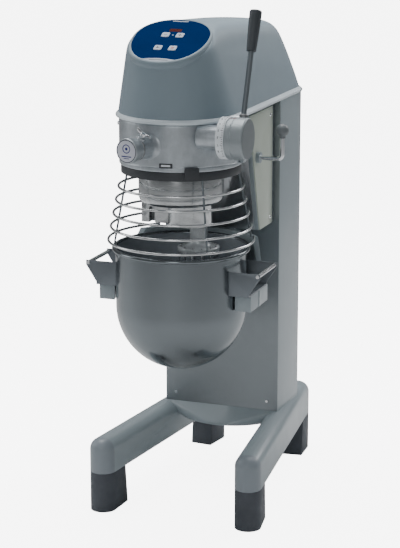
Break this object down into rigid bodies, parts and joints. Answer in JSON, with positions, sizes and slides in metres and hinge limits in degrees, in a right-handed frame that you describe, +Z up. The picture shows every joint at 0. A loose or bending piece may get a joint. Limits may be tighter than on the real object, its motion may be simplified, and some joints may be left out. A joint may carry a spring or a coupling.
{
  "type": "planetary mixer",
  "caption": "Floor-standing planetary mixer with splayed legs, sheet column, sloping control panel, crank bowl lift, lift-off bowl, swinging wire guard, whisk and speed lever",
  "frame": {"origin": "on the floor, at the middle of the footprint box", "axes": "+Z up, the operator stands at -Y, +X is the machine's right-hand side seen from the front, where the speed lever and the crank are"},
  "size_m": [0.45, 0.8379, 1.2671],
  "materials": {
    "light_paint": "satin blue-grey paint",
    "dark_paint": "satin dark grey paint",
    "cream_paint": "satin pale paint",
    "rubber": "moulded black rubber",
    "black_rubber": "matte black",
    "stainless": "brushed",
    "bright_steel": "polished",
    "dark_steel": "machined",
    "grey_steel": "satin",
    "chrome": "bright",
    "cast_aluminium": "satin cast",
    "polished_aluminium": "polished",
    "black_plastic": "matte",
    "white_plastic": "gloss",
    "grey_plastic": "soft matte",
    "blue_plastic": "gloss film",
    "red_window": "dark red",
    "green_board": "matte"
  },
  "bodies": {
    "stand": {"base_frame": "light_paint", "leg_end_caps": "dark_paint", "foot_front_left": "rubber", "foot_front_right": "rubber", "foot_rear_left": "rubber", "foot_rear_right": "rubber", "column_shell": "light_paint", "column_front_panel": "stainless", "panel_screws": "bright_steel", "column_frame": "dark_steel", "cable_gland": "black_plastic", "neck_housing": "light_paint", "neck_side_panels": "cream_paint", "neck_front_plate": "stainless", "head_cover": "light_paint", "head_trim": "light_paint", "control_panel_bezel": "light_paint", "control_panel_face": "blue_plastic", "display_window": "red_window", "control_board": "green_board", "gearbox_housing": "cast_aluminium", "shaft_bearings": "bright_steel", "ring_gear": "dark_steel", "hub_housing": "cast_aluminium", "speed_scale_ring": "white_plastic", "guide_rods": "bright_steel", "drive_belt": "black_rubber", "motor": "dark_paint"},
    "hub_cap": {"hub_cap": "white_plastic"},
    "clamp_screw": {"hub_clamp_screw": "chrome"},
    "outlet_shaft": {"hub_drive_shaft": "dark_steel"},
    "speed_lever": {"speed_dial": "cast_aluminium", "speed_lever_rod": "grey_steel", "speed_lever_grip": "black_plastic"},
    "crank": {"lift_crank": "chrome", "lift_ball_knob": "black_plastic", "lift_pinion": "dark_steel"},
    "carriage": {"lift_rack": "dark_steel", "lift_carriage": "dark_steel", "yoke": "light_paint", "yoke_pins": "bright_steel"},
    "bowl": {"bowl": "stainless", "bowl_bracket_left": "stainless", "bowl_bracket_right": "stainless", "bowl_grips": "bright_steel"},
    "guard": {"guard_ring": "black_plastic", "guard_wires": "bright_steel"},
    "planetary": {"planetary_cup": "polished_aluminium", "main_shaft": "dark_steel", "driven_pulley": "cast_aluminium"},
    "agitator": {"planet_gear": "dark_steel", "agitator_shaft": "bright_steel", "whisk_hub": "polished_aluminium", "whisk_wires": "bright_steel"},
    "motor_rotor": {"motor_pulley": "dark_steel"},
    "timer_up": {"timer_up_button": "grey_plastic"},
    "timer_down": {"timer_down_button": "grey_plastic"},
    "start": {"start_button": "grey_plastic"},
    "stop": {"stop_button": "grey_plastic"}
  },
  "joints": [
    {"name": "bowl_lift", "type": "slide", "parent": "stand", "child": "carriage", "axis": [0, 0, -1], "range_m": [0, 0.13]},
    {"name": "crank_turn", "type": "hinge", "parent": "stand", "child": "crank", "pos_m": [0.119, -0.028, 0.885], "axis": [1, 0, 0], "range_deg": [-312, 0]},
    {"name": "bowl_lift_off", "type": "slide", "parent": "carriage", "child": "bowl", "axis": [0, 0, 1], "range_m": [0, 0.012]},
    {"name": "guard_swing", "type": "hinge", "parent": "stand", "child": "guard", "pos_m": [0, -0.188, 0.882], "axis": [0, 0, 1], "range_deg": [-110, 0]},
    {"name": "planetary_spin", "type": "hinge", "parent": "stand", "child": "planetary", "pos_m": [0, -0.188, 0.836], "axis": [0, 0, 1], "continuous": true},
    {"name": "agitator_spin", "type": "hinge", "parent": "planetary", "child": "agitator", "pos_m": [0.045, -0.188, 0.8], "axis": [0, 0, 1], "continuous": true},
    {"name": "motor_spin", "type": "hinge", "parent": "stand", "child": "motor_rotor", "pos_m": [0, 0.212, 1], "axis": [0, 0, 1], "continuous": true},
    {"name": "outlet_spin", "type": "hinge", "parent": "stand", "child": "outlet_shaft", "pos_m": [-0.03247, -0.33444, 0.953], "axis": [-0.2164, -0.9763, 0], "continuous": true},
    {"name": "speed_lever_tilt", "type": "hinge", "parent": "stand", "child": "speed_lever", "pos_m": [0.186, -0.3, 0.978], "axis": [1, 0, 0], "range_deg": [-10, 55]},
    {"name": "hub_cap_pull", "type": "slide", "parent": "stand", "child": "hub_cap", "axis": [-0.2164, -0.9763, 0], "range_m": [0, 0.025]},
    {"name": "clamp_turn", "type": "hinge", "parent": "stand", "child": "clamp_screw", "pos_m": [-0.04112, -0.3735, 0.953], "axis": [0.4881, -0.1082, 0.866], "range_deg": [-150, 150]},
    {"name": "timer_down_press", "type": "slide", "parent": "stand", "child": "timer_down", "axis": [0, 0.4384, -0.8988], "range_m": [0, 0.001], "stiffness_N_per_m": 600, "springref_m": -0.0005},
    {"name": "timer_up_press", "type": "slide", "parent": "stand", "child": "timer_up", "axis": [0, 0.4384, -0.8988], "range_m": [0, 0.001], "stiffness_N_per_m": 600, "springref_m": -0.0005},
    {"name": "start_press", "type": "slide", "parent": "stand", "child": "start", "axis": [0, 0.4384, -0.8988], "range_m": [0, 0.001], "stiffness_N_per_m": 600, "springref_m": -0.0005},
    {"name": "stop_press", "type": "slide", "parent": "stand", "child": "stop", "axis": [0, 0.4384, -0.8988], "range_m": [0, 0.001], "stiffness_N_per_m": 600, "springref_m": -0.0005}
  ],
  "couplings": [
    {"joint": "crank_turn", "follows": "bowl_lift", "rad_per_m": -41.667},
    {"joint": "agitator_spin", "follows": "planetary_spin", "ratio": -2.5},
    {"joint": "motor_spin", "follows": "planetary_spin", "ratio": 2.5},
    {"joint": "outlet_spin", "follows": "planetary_spin", "ratio": -1.5}
  ]
}
